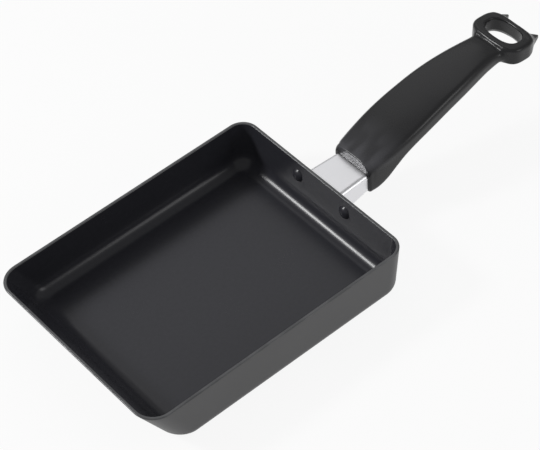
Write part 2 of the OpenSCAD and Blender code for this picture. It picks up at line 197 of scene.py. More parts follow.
def make_finish(name, recipe, *facts):
    """A material whose recipe gives the sockets of its principled shader."""
    finish = bpy.data.materials.new(name)
    graph = empty_graph(finish)
    place = graph.node("ShaderNodeTexCoord", out="Object")
    shader = graph.node("ShaderNodeBsdfPrincipled", recipe(graph, place, *facts))
    graph.node("ShaderNodeOutputMaterial", {"Surface": shader})
    print("finish:", name, "with", len(graph.tree.nodes), "nodes")
    return finish


def cloud(graph, vector, scale, detail=2.0, roughness=0.5):
    """Soft noise between 0 and 1."""
    return graph.node("ShaderNodeTexNoise", {
        "Vector": vector, "Scale": scale, "Detail": detail, "Roughness": roughness}, "Fac")


def relief(graph, height, distance):
    """A bump of a real height in metres."""
    return graph.node("ShaderNodeBump", {"Height": height, "Distance": distance}, "Normal")


# %% [markdown]
# ### The non-stick coating inside
#
# Non-stick coating is sprayed on and baked. It is nearly black, and its sheen is broken by a fine
# orange-peel relief and by tiny grains. A wider noise makes the sheen a little uneven, as on a
# coating that has been wiped.

# %% Non-stick coating
COATING_DARK, COATING_LIGHT = (0.0226, 0.0228, 0.0280), (0.0356, 0.0360, 0.0430)


def coating_recipe(graph, place):
    grains = cloud(graph, place, scale=2600)
    peel = cloud(graph, place, scale=900)
    wiped = cloud(graph, place, scale=28, detail=3.0)
    mottle = cloud(graph, place, scale=420)
    speck = grains.ramp(0.62, 0.78)
    return {
        "Base Color": graph.blend(speck * 0.5 + mottle * 0.5 + wiped * 0.1,
                                  COATING_DARK, COATING_LIGHT),
        "Specular IOR Level": 0.3,
        "Roughness": wiped * 0.04 + grains * 0.04 + 0.22,
        "Normal": relief(graph, grains * 0.6 + peel * 0.4, distance=0.005 * MM)}


coating = make_finish("nonstick_coating", coating_recipe)

# %% [markdown]
# ### The satin outside and the rim
#
# The outside has a greyer, satin, heat-proof finish. On the rim both coats are thin and have been
# turned flat, so the metal shows through a little and the edge reads as a lighter line.

# %% Satin outside
SATIN_DARK, SATIN_LIGHT = (0.050, 0.050, 0.052), (0.066, 0.066, 0.068)


def satin_recipe(graph, place):
    grains = cloud(graph, place, scale=1900)
    wiped = cloud(graph, place, scale=22, detail=3.0)
    shade = wiped.ramp(0.3, 0.7) * 0.6 + grains * 0.3
    return {
        "Base Color": graph.blend(shade, SATIN_DARK, SATIN_LIGHT),
        "Roughness": wiped * 0.08 + 0.4,
        "Normal": relief(graph, grains, distance=0.01 * MM)}


satin = make_finish("satin_outside", satin_recipe)

# %% Turned rim
RIM_DARK, RIM_LIGHT = (0.072, 0.073, 0.076), (0.105, 0.106, 0.11)


def rim_recipe(graph, place):
    lines = cloud(graph, place, scale=1400)
    worn = cloud(graph, place, scale=60, detail=3.0)
    return {
        "Base Color": graph.blend(worn.ramp(0.35, 0.7), RIM_DARK, RIM_LIGHT),
        "Metallic": 0.35,
        "Roughness": lines * 0.1 + 0.3,
        "Normal": relief(graph, lines, distance=0.008 * MM)}


rim_finish = make_finish("turned_rim", rim_recipe)

# %% [markdown]
# ### Stainless steel
#
# The bracket is folded from polished stainless sheet. Rolling leaves very fine lines along the
# sheet, so the noise is stretched along X by a Mapping node: fine across, long along.

# %% Stainless sheet and zinc
def metal_recipe(graph, place, colour, stretch):
    """Bare metal, its smears a little darker, with lines as fine as the stretch says."""
    along = graph.node("ShaderNodeMapping", {"Vector": place, "Scale": stretch})
    lines = cloud(graph, along, scale=1.0, detail=3.0, roughness=0.6)
    smears = cloud(graph, place, scale=90, detail=3.0)
    return {
        "Base Color": graph.blend(smears, [c * 0.94 for c in colour], colour),
        "Metallic": 1.0,
        "Roughness": lines * 0.06 + smears * 0.06 + 0.3,
        "Normal": relief(graph, lines, distance=0.004 * MM)}


steel = make_finish("stainless_sheet", metal_recipe, (0.80, 0.80, 0.82), (40, 2600, 2600))
zinc = make_finish("zinc_plate", metal_recipe, (0.56, 0.56, 0.57), (900, 900, 900))

# %% [markdown]
# ### Phenolic
#
# The grip is moulded from black phenolic, a hard plastic that stands heat. Fresh from the mould it
# is satin to glossy, with a faint unevenness where the powder flowed. The top of the grip's nose
# mirrors the bright bracket, and the recipe paints that reflection into the colour: a painted
# reflection, lighter, with soft streaks.

# %% Moulded phenolic
PHENOLIC_DARK, PHENOLIC_LIGHT = (0.0125, 0.0125, 0.0135), (0.0175, 0.0175, 0.019)
# colour of the painted reflection of the bracket on the nose top
PAINTED_REFLECTION = (0.062, 0.062, 0.068)
# where the painted reflection lies, along the grip and in height
PAINTED_REFLECTION_START, PAINTED_REFLECTION_END = 112 * MM, 142 * MM
PAINTED_REFLECTION_BOTTOM, PAINTED_REFLECTION_TOP = 30 * MM, 36 * MM


def phenolic_recipe(graph, place):
    flow = cloud(graph, place, scale=45, detail=3.0)
    pores = cloud(graph, place, scale=2200)
    along, across, up = graph.parts(place)
    reflection_streaks = cloud(graph, graph.vector(along * 0.1, across, up), scale=190, detail=0.0)
    # painted reflection: the nose top is made lighter where it mirrors the bracket, broken into
    # soft streaks
    nose = along.ramp(PAINTED_REFLECTION_START, PAINTED_REFLECTION_END, 1.0, 0.0) * up.ramp(PAINTED_REFLECTION_BOTTOM, PAINTED_REFLECTION_TOP)
    plain = graph.blend(flow, PHENOLIC_DARK, PHENOLIC_LIGHT)
    return {
        "Base Color": graph.blend(nose * (reflection_streaks.ramp(0.35, 0.65) * 0.6 + 0.4), plain, PAINTED_REFLECTION),
        "Specular IOR Level": 0.32,
        "Roughness": flow * 0.06 + pores * 0.04 + 0.23,
        "Normal": relief(graph, pores, distance=0.006 * MM)}


phenolic = make_finish("black_phenolic", phenolic_recipe)

# %% [markdown]
# ## The pan
#
# A pressed pan has one wall profile that runs round a rounded rectangle, so it follows a rule and
# Geometry Nodes can make it. The profile is drawn once as a bare line of points. Each point holds
# its inset from the rim's outline, its height, and a share that shrinks whole rings to the middle
# for the base and the floor. The tree lays a grid, finds for each point its place along the outline
# and its place along the profile, and moves it there. The walls lean by a share of the height.

# %% Measures of the pan, in metres
PAN_LENGTH = 180 * MM
PAN_WIDTH = 140 * MM
PAN_HEIGHT = 32.5 * MM
WALL = 2 * MM
FLOOR = 2.5 * MM
RIM_EDGE = 0.6 * MM
BASE_EDGE = 7 * MM
FLOOR_FILLET = 8 * MM
SLOPE_RUN = 18 * MM
HANDLE_RUN = 3 * MM
SIDE_RUN = 0.5 * MM
SLOPE_CORNER = 14 * MM
HANDLE_CORNER = 11 * MM
BASE_CORNER = 13 * MM
SMALLEST_CORNER = 1.5 * MM
WALL_TOP = PAN_HEIGHT - RIM_EDGE
SUPPORT = 0.8 * MM
MIDDLE_HEIGHT = PAN_HEIGHT * 0.6
BASE_STEPS, RIM_STEPS, FILLET_STEPS = 12, 6, 14


def quarter(steps):
    """Angles of a quarter turn."""
    return [pi / 2 * k / steps for k in range(steps + 1)]


def quarter_round(radius, steps):
    """Points (run, rise) of a rounded edge, from flat to upright."""
    return [(radius * (1 - sin(a)), radius * (1 - cos(a))) for a in quarter(steps)]


def pan_profile():
    """Rows of (inset, share, height), and the rows where the finish changes.

    They run from the middle of the base outwards, over the rim and back to the floor's middle.
    """
    shares = [0, 0.2, 0.4, 0.6, 0.8, 0.93, 0.985]
    rows = [(BASE_EDGE, share, 0) for share in shares]
    rows += [(run, 1, rise) for run, rise in quarter_round(BASE_EDGE, BASE_STEPS)]
    rows += [(0, 1, z) for z in (BASE_EDGE + SUPPORT, MIDDLE_HEIGHT, WALL_TOP - SUPPORT)]
    rim_start = len(rows)
    edge = [(RIM_EDGE * (1 - cos(a)), WALL_TOP + RIM_EDGE * sin(a)) for a in quarter(RIM_STEPS)]
    rows += [(inset, 1, z) for inset, z in edge]
    rows += [(WALL - inset, 1, z) for inset, z in reversed(edge)]
    rim_end = len(rows) - 2
    fillet_top = FLOOR + FLOOR_FILLET
    rows += [(WALL, 1, z) for z in (WALL_TOP - SUPPORT, MIDDLE_HEIGHT, fillet_top + SUPPORT)]
    rows += [(WALL + run, 1, FLOOR + rise)
             for run, rise in quarter_round(FLOOR_FILLET, FILLET_STEPS)[::-1]]
    rows += [(WALL + FLOOR_FILLET, share, FLOOR) for share in reversed(shares)]
    return rows, rim_start, rim_end


profile, RIM_START, RIM_END = pan_profile()
print("profile of", len(profile), "points; the rim is rows", RIM_START, "to", RIM_END)

# %% [markdown]
# Both trees below need the same parts: an interface with named inputs, a grid that carries one
# profile line, and coats of finish on the result. Each part gets a helper here. The last helper
# puts a tree on a profile line as a modifier, sets its inputs by their identifiers, and keeps the
# result as a plain mesh.

# %% Geometry tree helpers
SEAM = 0.002 * MM
KINDS = {float: "Float", int: "Int", tuple: "Vector", type(None): "Material"}


def new_tree(name, inputs):
    """A geometry tree with its inputs. Their start values show their kinds; None is a material."""
    tree = bpy.data.node_groups.new(name, "GeometryNodeTree")
    for way in ("INPUT", "OUTPUT"):
        tree.interface.new_socket("Geometry", in_out=way, socket_type="NodeSocketGeometry")
    for title, value in inputs.items():
        kind = "NodeSocket" + KINDS[type(value)]
        socket = tree.interface.new_socket(title, in_out="INPUT", socket_type=kind)
        if value is not None:
            socket.default_value = value
    graph = Graph(tree)
    source = tree.nodes.new("NodeGroupInput")
    return graph, {s.name: Wire(graph, s) for s in source.outputs if s.name}


def carry_line(graph, given, columns, rows):
    """A grid with a column for each place of the source's line.

    It comes with each point's column and row, and with the line's x, y and z in that row.
    """
    grid = graph.node("GeometryNodeMeshGrid", {"Vertices X": columns, "Vertices Y": rows}, "Mesh")
    index = graph.node("GeometryNodeInputIndex")
    column = ((index + 0.5) / rows).floor()
    row = index - column * rows
    drawn = graph.node("GeometryNodeSampleIndex", {
        "Geometry": given["Geometry"], "Value": graph.node("GeometryNodeInputPosition"),
        "Index": row}, data_type="FLOAT_VECTOR")
    return grid, column, row, graph.parts(drawn)


def close_seam(graph, geometry):
    """Merge doubled points and shade smooth."""
    joined = graph.node("GeometryNodeMergeByDistance", {"Geometry": geometry, "Distance": SEAM})
    return graph.node("GeometryNodeSetShadeSmooth", {"Geometry": joined})


def end_tree(graph, geometry, *coats):
    """Realise instances, paint each (material, where) over the last, and give the result out."""
    geometry = graph.node("GeometryNodeRealizeInstances", {"Geometry": geometry})
    for material, where in coats:
        geometry = graph.node("GeometryNodeSetMaterial", {
            "Geometry": geometry, "Selection": where, "Material": material})
    graph.node("NodeGroupOutput", {"Geometry": geometry})


def face_out(mesh):
    """Turn a closed mesh's faces outwards."""
    shape = bmesh.new()
    shape.from_mesh(mesh)
    if shape.calc_volume(signed=True) < 0:
        bmesh.ops.reverse_faces(shape, faces=shape.faces)
    shape.to_mesh(mesh)
    loose = sum(not edge.is_manifold for edge in shape.edges)
    volume = shape.calc_volume(signed=True) / MM ** 3
    print("   volume", round(volume, 1), "mm3, edges without two faces:", loose)
    shape.free()


def settle(piece):
    """Turn the piece's modifiers into its plain mesh."""
    graph = bpy.context.evaluated_depsgraph_get()
    mesh = bpy.data.meshes.new_from_object(piece.evaluated_get(graph), depsgraph=graph)
    piece.modifiers.clear()
    old, piece.data = piece.data, mesh
    bpy.data.meshes.remove(old)
    mesh.name = piece.name


def grow(name, points, tree, values):
    """The plain piece that a tree makes from a bare line of points."""
    mesh = bpy.data.meshes.new(name)
    mesh.from_pydata(points, [(k, k + 1) for k in range(len(points) - 1)], [])
    piece = add_object(name, mesh)
    modifier = piece.modifiers.new("grow", "NODES")
    modifier.node_group = tree
    for item in tree.interface.items_tree:
        if item.in_out == "INPUT" and item.name in values:
            modifier[item.identifier] = values[item.name]
    settle(piece)
    face_out(piece.data)
    print(name, "has", len(piece.data.polygons), "faces")
    return piece


# %% Tree that carries a profile round the pan's outline
CORNER_STEPS = 20
CORNER_HOLD = 1.2 * MM


def pan_tree():
    graph, given = new_tree("pressed pan", {
        "Length": PAN_LENGTH, "Width": PAN_WIDTH, "Wall Top": WALL_TOP,
        "Slope Run": SLOPE_RUN, "Handle Run": HANDLE_RUN, "Side Run": SIDE_RUN,
        "Slope Corner": SLOPE_CORNER, "Handle Corner": HANDLE_CORNER, "Base Corner": BASE_CORNER,
        "Inside": None, "Rim": None, "Outside": None, "Rim Start": RIM_START, "Rim End": RIM_END})
    per_corner = CORNER_STEPS + 3  # the arc's points, and one held point on each side of them
    grid, column, row, (inset, share, height) = carry_line(
        graph, given, 4 * per_corner + 1, len(profile))

    step = column.remainder(4 * per_corner)
    turn = ((step + 0.5) / per_corner).floor()
    along = step - turn * per_corner - 1
    bent = along.at_least(0).at_most(CORNER_STEPS)
    angle = (bent / CORNER_STEPS + turn) * (pi / 2)
    overshoot = (along - bent) * CORNER_HOLD
    at_slope = (turn > 0.5) * (turn < 2.5)
    at_left = 1 - (turn > 1.5) * 2

    low = (1 - height / given["Wall Top"]).at_least(0)
    slope_end = given["Slope Run"] * low + inset - given["Length"] * 0.5
    handle_end = given["Length"] * 0.5 - given["Handle Run"] * low - inset
    half = given["Width"] * 0.5 - given["Side Run"] * low - inset
    at_rim = given["Handle Corner"] + (given["Slope Corner"] - given["Handle Corner"]) * at_slope
    radius = (at_rim + (given["Base Corner"] - at_rim) * low - inset).at_least(SMALLEST_CORNER)
    centre_x = (handle_end - radius) + (slope_end - handle_end + radius * 2) * at_slope
    x = centre_x + radius * angle.cosine() - overshoot * angle.sine()
    y = at_left * (half - radius) + radius * angle.sine() + overshoot * angle.cosine()
    middle = (slope_end + handle_end) * 0.5
    x = middle + (x - middle) * share
    y = y * share

    moved = graph.node("GeometryNodeSetPosition", {
        "Geometry": grid, "Position": graph.vector(x, y, height)})
    marked = graph.node("GeometryNodeStoreNamedAttribute", {
        "Geometry": moved, "Name": "row", "Value": row})
    mark = graph.node("GeometryNodeInputNamedAttribute", {"Name": "row"})
    end_tree(graph, close_seam(graph, marked),
             (given["Outside"], True), (given["Inside"], mark > given["Rim End"]),
             (given["Rim"], (mark > given["Rim Start"]) * (mark < given["Rim End"])))
    return graph.tree


pan = grow("pan", profile, pan_tree(), {
    "Inside": coating, "Rim": rim_finish, "Outside": satin})

# %% [markdown]
# ## Rivets
#
# Two rivets hold the bracket. Each is a shape turned on an axis: a low dome inside the pan, the
# shank through the wall, and a closed end on the bracket's flange. A second tree turns any profile
# line and puts the result on a row of points. Each rivet is a piece of its own, so it is a row of
# one.

# %% Tree that turns a profile and repeats it
def turned_tree():
    graph, given = new_tree("turned piece", {
        "Sides": 64, "Copies": 1, "Spacing": 0.0, "Start": (0, 0, 0), "Tilt": (0, 0, 0),
        "Material": None})
    rows = graph.node("GeometryNodeAttributeDomainSize", {"Geometry": given["Geometry"]},
                      "Point Count")
    grid, column, _, (along, radius, _) = carry_line(graph, given, given["Sides"] + 1, rows)
    angle = column / given["Sides"] * (2 * pi)
    moved = graph.node("GeometryNodeSetPosition", {
        "Geometry": grid,
        "Position": graph.vector(along, radius * angle.cosine(), radius * angle.sine())})
    places = graph.node("GeometryNodeMeshLine", {
        "Count": given["Copies"], "Start Location": given["Start"],
        "Offset": graph.vector(0.0, given["Spacing"], 0.0)})
    turned = graph.node("GeometryNodeInstanceOnPoints", {
        "Points": places, "Instance": close_seam(graph, moved), "Rotation": given["Tilt"]})
    end_tree(graph, turned, (given["Material"], True))
    return graph.tree


turned = turned_tree()
print("turned piece tree:", len(turned.nodes), "nodes")

# %% Rivets
WALL_LEAN = atan(HANDLE_RUN / WALL_TOP)
RIVET_HEIGHT = 22.5 * MM
RIVET_SETOUT = 20 * MM
RIVET_SHANK = 2.5 * MM
RIVET_HEAD = 8.4 * MM, 2.2 * MM, 16  # width, height, steps
RIVET_TAIL = 7.6 * MM, 1.8 * MM, 14
DOME_EDGE = 0.12 * MM
RIVET_SHARP = radians(35)
SHEET = 1.5 * MM


def wall_x(z):
    """Outside face of the handle wall at a height."""
    return PAN_LENGTH / 2 - HANDLE_RUN * (1 - z / WALL_TOP)


def dome_line(width, height, steps):
    """Points (distance from the flat face, radius) from the rim of a low dome to its top."""
    ball = (width * width / 4 + height * height) / (2 * height)
    steepest = asin(width / 2 / ball)
    line = [(ball * cos(a) - (ball - height), ball * sin(a))
            for a in (steepest * (1 - k / steps) for k in range(steps + 1))]
    return [(0, width / 2 - DOME_EDGE), (DOME_EDGE * 0.5, width / 2)] + line[1:]


def rivet_profile():
    """Points (distance along the rivet, radius) from the top of its head to its far end."""
    inside = -WALL * cos(WALL_LEAN)
    head = [(inside - out, r) for out, r in dome_line(*RIVET_HEAD)]
    tail = [(SHEET + out, r) for out, r in dome_line(*RIVET_TAIL)]
    line = head[::-1] + [(head[0][0], RIVET_SHANK), (tail[0][0], RIVET_SHANK)] + tail
    return [(along, max(radius, 0), 0) for along, radius in line]


rivets = {}
for name, side in (("rivet_left", 1), ("rivet_right", -1)):
    rivets[name] = grow(name + "_dressed", rivet_profile(), turned, {
        "Start": (wall_x(RIVET_HEIGHT), side * RIVET_SETOUT, RIVET_HEIGHT),
        "Tilt": (0, WALL_LEAN, 0), "Material": coating})
    rivets[name].data.set_sharp_from_angle(angle=RIVET_SHARP)

# %% [markdown]
# ## The bracket
#
# The bracket is one folded sheet: a channel, open below, whose two sides are folded outwards into
# flanges. Folded sheet is best drawn as a surface without thickness, in rows and columns, with real
# bend radii, and thickened afterwards by Solidify, because then the thickness is the same all over.

# %% Middle surface of the folded sheet
CHANNEL_HALF = 14.4 * MM
CHANNEL_TAPER = 1.8 * MM
CHANNEL_BEND = 2.8 * MM
CHANNEL_TOP = 29.7 * MM
CHANNEL_DEPTH = 15 * MM
GRIP_FRONT = 111.2 * MM
TANG_END = 129.7 * MM
TANG_DEPTH = 11.2 * MM
TANG_TIP = 3 * MM
FLANGE_WIDTH = 13.5 * MM
FLANGE_HEIGHT = 11 * MM
FLANGE_CORNER = 4 * MM
CHANNEL_START = wall_x(CHANNEL_TOP)
FOLD = 1.7 * MM


def half_width(x):
    """Outside half width of the channel at x."""
    return CHANNEL_HALF - CHANNEL_TAPER * (x - CHANNEL_START) / (TANG_END - CHANNEL_START)


def side_bottom(x):
    """Lower edge of the channel's sides at x."""
    places = [wall_x(CHANNEL_TOP - CHANNEL_DEPTH) + SHEET / 2, GRIP_FRONT, TANG_END]
    return CHANNEL_TOP - float(np.interp(x, places, [CHANNEL_DEPTH, TANG_DEPTH, TANG_TIP]))


WEB_SHARES = [0, 0.3, 0.6, 0.85, 0.96]
SIDE_SHARES = [0, 0.05, 0.18, 0.35, 0.5, 0.65, 0.82, 0.95, 1]
BEND_STEPS, FOLD_STEPS, CORNER_PLACES = 9, 7, 9
FLANGE_PLACES, TANG_PLACES, CHANNEL_PLACES = 8, 7, 12
BEND_BOTTOM = CHANNEL_TOP - CHANNEL_BEND
WEB_START = CHANNEL_START + SHEET
FLANGE_TOP = RIVET_HEIGHT + FLANGE_HEIGHT / 2
FLANGE_BLEND = 4 * MM


def web_rows(x):
    """Points (y, z) from the middle line over the bend, at x."""
    half = half_width(x) - SHEET / 2
    top = CHANNEL_TOP - SHEET / 2
    bend = CHANNEL_BEND - SHEET / 2
    flat = [(share * (half - bend), top) for share in WEB_SHARES]
    return flat + [(half - run, top - rise) for run, rise in quarter_round(bend, BEND_STEPS)]


def add_grid(vertices, faces, columns):
    """Append a grid of points, given column by column."""
    first, rows = len(vertices), len(columns[0])
    for column in columns:
        vertices.extend(column)
    for c in range(len(columns) - 1):
        for r in range(rows - 1):
            a = first + c * rows + r
            faces.append((a, a + 1, a + rows + 1, a + rows))


def side_point(x, share):
    """Point on the side's middle surface, share of the way from the bend to the lower edge."""
    return (x, half_width(x) - SHEET / 2, BEND_BOTTOM + share * (side_bottom(x) - BEND_BOTTOM))


def fold_line(share):
    """Where the side starts to fold outwards: the wall leans, so this line leans with it."""
    x = WEB_START
    for _ in range(4):
        x = wall_x(side_point(x, share)[2]) + SHEET / 2 + FOLD
    return side_point(x, share)


def places_to(end):
    """Places along the handle, from the tang's end to a given end by way of the grip's front."""
    tang = list(np.linspace(TANG_END, GRIP_FRONT, TANG_PLACES))
    return tang + list(np.linspace(GRIP_FRONT, end, CHANNEL_PLACES))[1:]


def bracket_half():
    """Vertices and faces of the +Y half."""
    vertices, faces = [], []
    side_end = fold_line(0)[0]
    web = [places_to(WEB_START)] * len(WEB_SHARES)
    web += [places_to(WEB_START + (side_end - WEB_START) * k / BEND_STEPS)
            for k in range(BEND_STEPS + 1)]
    add_grid(vertices, faces, [
        [(row[c], *web_rows(row[c])[r]) for r, row in enumerate(web)] for c in range(len(web[0]))])

    folds = [fold_line(share) for share in SIDE_SHARES]
    rows = [places_to(point[0]) for point in folds]
    columns = [[side_point(row[c], share) for row, share in zip(rows, SIDE_SHARES)]
               for c in range(len(rows[0]))]
    flat_start = folds[0][1] + FOLD
    round_start = CHANNEL_HALF + FLANGE_WIDTH - FLANGE_CORNER
    flat = [(y, 0) for y in np.linspace(flat_start, round_start, FLANGE_PLACES)[1:]]
    flat += [(round_start + FLANGE_CORNER * sin(a), FLANGE_CORNER * (1 - cos(a)))
             for a in quarter(CORNER_PLACES)[1:]]
    turns = [(a, 0.0, 0.0) for a in quarter(FOLD_STEPS)[1:]]
    turns += [(pi / 2, y - flat_start, cut) for y, cut in flat]
    for angle, out, cut in turns:
        reach = min(0.5 * angle / (pi / 2) + 0.5 * out / FLANGE_BLEND, 1)
        top = BEND_BOTTOM + (FLANGE_TOP - BEND_BOTTOM) * reach - cut
        bottom = folds[-1][2] + (FLANGE_TOP - FLANGE_HEIGHT - folds[-1][2]) * reach + cut
        column = []
        for share, (_, y, _) in zip(SIDE_SHARES, folds):
            z = top + (bottom - top) * share
            column.append((wall_x(z) + SHEET / 2 + FOLD * (1 - sin(angle)),
                           y + FOLD * (1 - cos(angle)) + out, z))
        columns.append(column)
    add_grid(vertices, faces, columns)
    return vertices, faces


# %% Mesh helpers
DOUBLES = 0.005 * MM
SHARP = radians(40)


def mesh_piece(name, vertices, faces, material, smooth=True):
    """A new object from plain lists."""
    mesh = bpy.data.meshes.new(name)
    mesh.from_pydata(vertices, [], faces)
    mesh.materials.append(material)
    mesh.polygons.foreach_set("use_smooth", [smooth] * len(mesh.polygons))
    mesh.update()
    return add_object(name, mesh)


def shape_piece(name, shape, material):
    """A new object from a bmesh."""
    mesh = bpy.data.meshes.new(name)
    shape.to_mesh(mesh)
    shape.free()
    mesh.materials.append(material)
    return add_object(name, mesh)


def keep_as(shape, piece):
    shape.to_mesh(piece.data)
    shape.free()
    piece.data.update()


def merge_doubles(piece):
    """Merge doubled points and turn every face the same way."""
    shape = bmesh.new()
    shape.from_mesh(piece.data)
    bmesh.ops.remove_doubles(shape, verts=shape.verts, dist=DOUBLES)
    bmesh.ops.dissolve_degenerate(shape, edges=shape.edges, dist=DOUBLES)
    bmesh.ops.recalc_face_normals(shape, faces=shape.faces)
    keep_as(shape, piece)


def modify(piece, kind, **settings):
    """Apply one modifier to a piece."""
    modifier = piece.modifiers.new(kind, kind)
    for name, value in settings.items():
        setattr(modifier, name, value)
    settle(piece)


# %% Bracket with its thickness
SHEET_EDGE = 0.22 * MM
BEVEL_FROM = radians(50)


def make_bracket():
    vertices, faces = bracket_half()
    count = len(vertices)
    vertices += [(x, -y, z) for x, y, z in vertices]
    faces += [tuple(count + k for k in reversed(face)) for face in faces]
    piece = mesh_piece("bracket_dressed", vertices, faces, steel)
    merge_doubles(piece)
    modify(piece, "SOLIDIFY", thickness=SHEET, offset=0, use_even_offset=True)
    modify(piece, "BEVEL", width=SHEET_EDGE, segments=2, limit_method="ANGLE",
           angle_limit=BEVEL_FROM)
    piece.data.set_sharp_from_angle(angle=SHARP)
    face_out(piece.data)
    return piece


bracket = make_bracket()
print("bracket has", len(bracket.data.polygons), "faces")

# %% [markdown]
# ## The grip
#
# The grip is the one piece of free form: a bar whose width, height and thickness change along its
# length. It could be sculpted, but a loft is easier to control. A list of stations gives each
# measure at a few places, a smooth curve runs through them, and rings of points follow the curve.
# The nose has three outlines, each with as many points as a ring: the lip round the bracket, the
# edge of the flat face, and the full section behind it. The grip's numbers are in millimetres, and
# become metres when its mesh is made.

# %% Curves along the grip
GRIP_LENGTH = 106.9
TOP_STATIONS = [[0, 0], [0.12, 0.2], [0.23, 0.38], [0.34, 0.545], [0.455, 0.7], [0.566, 0.83],
                [0.68, 0.92], [0.79, 0.98], [0.89, 1], [1, 0.975]]
HALF_STATIONS = [[0, 14.95], [0.05, 15.83], [0.12, 16.71], [0.23, 17.56], [0.34, 17.7],
                 [0.455, 17.2], [0.566, 16.5], [0.68, 15.5], [0.79, 13.98], [0.9, 12.38], [1, 11.4]]
THICKNESS_STATIONS = [[0, 11.2], [0.455, 11.2], [0.68, 10.53], [0.79, 10.18], [0.9, 9.38], [1, 8.7]]
BELLY_STATIONS = [[0, 0.88], [0.18, 1], [0.35, 0.85], [0.515, 0.5], [0.68, 0.2], [0.85, 0.05],
                  [1, 0]]
NOSE_COVER, GRIP_RISE = 4.2, 24.2
NOSE_LENGTH, NOSE_EXTRA = 36.4, 8.2
NECK_RUN, NECK_FLARE, NECK_LIFT, NECK_DIP, NECK_SHARPEN = 8.0, 1.3, 1.7, 0.9, 0.54
EDGE_RADIUS = 3.5
CROWN = 1.2


def curve(stations, x):
    """Smooth curve through stations (place, value)."""
    places, values = zip(*stations)
    last = len(stations) - 1

    def lean(k):
        a, b = max(k - 1, 0), min(k + 1, last)
        return (values[b] - values[a]) / (places[b] - places[a])

    k = min(max(int(np.searchsorted(places, x, side="right")) - 1, 0), last - 1)
    width = places[k + 1] - places[k]
    t = (x - places[k]) / width
    return (values[k] * (2 * t ** 3 - 3 * t * t + 1) + lean(k) * width * (t ** 3 - 2 * t * t + t)
            + values[k + 1] * (3 * t * t - 2 * t ** 3) + lean(k + 1) * width * (t ** 3 - t * t))


def back_height(u):
    return CHANNEL_TOP / MM + NOSE_COVER + (GRIP_RISE - NOSE_COVER) * curve(TOP_STATIONS, u)


def depth(s, u):
    belly = max(curve(BELLY_STATIONS, s / NOSE_LENGTH), 0) if s < NOSE_LENGTH else 0
    return curve(THICKNESS_STATIONS, u) + NOSE_EXTRA * belly


# %% Rings round the grip
ARC_STEPS, FLAT_STEPS, SIDE_STEPS = 12, 22, 6


def rounded_ring(half, top, bottom, upper, lower, crown):
    """Points (y, z) from the +Y side round a crowned rectangle; upper and lower are radii."""
    def arc(cy, cz, r, start):
        return [(cy + r * cos(start + a), cz + r * sin(start + a)) for a in quarter(ARC_STEPS)]

    def between(a, b, steps):
        return [(a[0] + (b[0] - a[0]) * k / steps, a[1] + (b[1] - a[1]) * k / steps)
                for k in range(1, steps)]

    corners = [arc(half - upper, top - upper, upper, 0),
               arc(upper - half, top - upper, upper, pi / 2),
               arc(lower - half, bottom + lower, lower, pi),
               arc(half - lower, bottom + lower, lower, 3 * pi / 2)]
    points = []
    for k, steps in enumerate((FLAT_STEPS, SIDE_STEPS, FLAT_STEPS, SIDE_STEPS)):
        points += corners[k] + between(corners[k][-1], corners[(k + 1) % 4][0], steps)
    middle = (top + bottom) / 2
    return np.array([(y, z + (crown if z > middle else -crown) * (1 - (y / half) ** 2))
                     for y, z in points])


def grip_section(s):
    """Full section of the grip at a distance s behind its front."""
    u = min(s / GRIP_LENGTH, 1)
    past = min(max(s - (GRIP_LENGTH - NECK_RUN), 0) / NECK_RUN, 1)
    top = back_height(u)
    radius = EDGE_RADIUS - NECK_SHARPEN * past ** 2
    return rounded_ring(curve(HALF_STATIONS, u) + NECK_FLARE * past ** 3,
                        top - NECK_DIP * past ** 2,
                        top - depth(s, u) + NECK_LIFT * past ** 2, radius, radius, CROWN)


def ring_3d(s, section):
    """Section points with their place along the handle; s is one number or one for each point."""
    x = np.full(len(section), GRIP_FRONT / MM) + s
    return np.column_stack([x, section])


print("a ring has", len(grip_section(10)), "points")

# %% Nose of the grip
LIP_GAP, LIP_FOOT = 0.25, 0.6
LIP_HALF = half_width(GRIP_FRONT) / MM + LIP_GAP
LIP_TOP = CHANNEL_TOP / MM + LIP_GAP
LIP_BOTTOM = side_bottom(GRIP_FRONT) / MM - LIP_GAP
NOSE_LEAN = radians(12)
NOSE_FULL, NOSE_END = 2.0, 6.0
GROOVE = 0.9
FACE_RISE, FACE_HALF, FACE_BOW, FACE_BAND = 5.0, 11.9, 2.6, 3
FACE_SHARES = [0, 0.25, 0.5, 0.75, 0.93]
FLAT_SHARE, ROUND_LENGTH = (0.22, 0.8), (0.9, 3.2)  # least and most
NOSE_STEPS, CATCH_UP = 8, 1.5


def nose_rings():
    """Rings from the lip round the bracket, over the flat face, to the full section."""
    lip = rounded_ring(LIP_HALF, LIP_TOP, LIP_BOTTOM, CHANNEL_BEND / MM + LIP_GAP, LIP_FOOT, 0)
    full = grip_section(NOSE_FULL)
    span = np.linalg.norm(full - lip, axis=1)
    rise = FACE_RISE * np.sqrt(np.clip(1 - (np.abs(lip[:, 0]) / FACE_HALF) ** FACE_BOW, 0, 1))
    on_top = np.clip((lip[:, 1] - (LIP_TOP - FACE_BAND)) / FACE_BAND, 0, 1)
    flat = np.clip(on_top * rise / span, *FLAT_SHARE)
    lean = tan(NOSE_LEAN) * on_top
    rounding = np.clip((1 - flat) * span, *ROUND_LENGTH)
    stages = [(flat * f, flat * f * span * lean) for f in FACE_SHARES]
    stages += [(flat + (1 - flat) * sin(a), flat * span * lean + rounding * (1 - cos(a)))
               for a in quarter(NOSE_STEPS)]
    return lip, [ring_3d(s, lip + (full - lip) * share[:, None]) for share, s in stages]


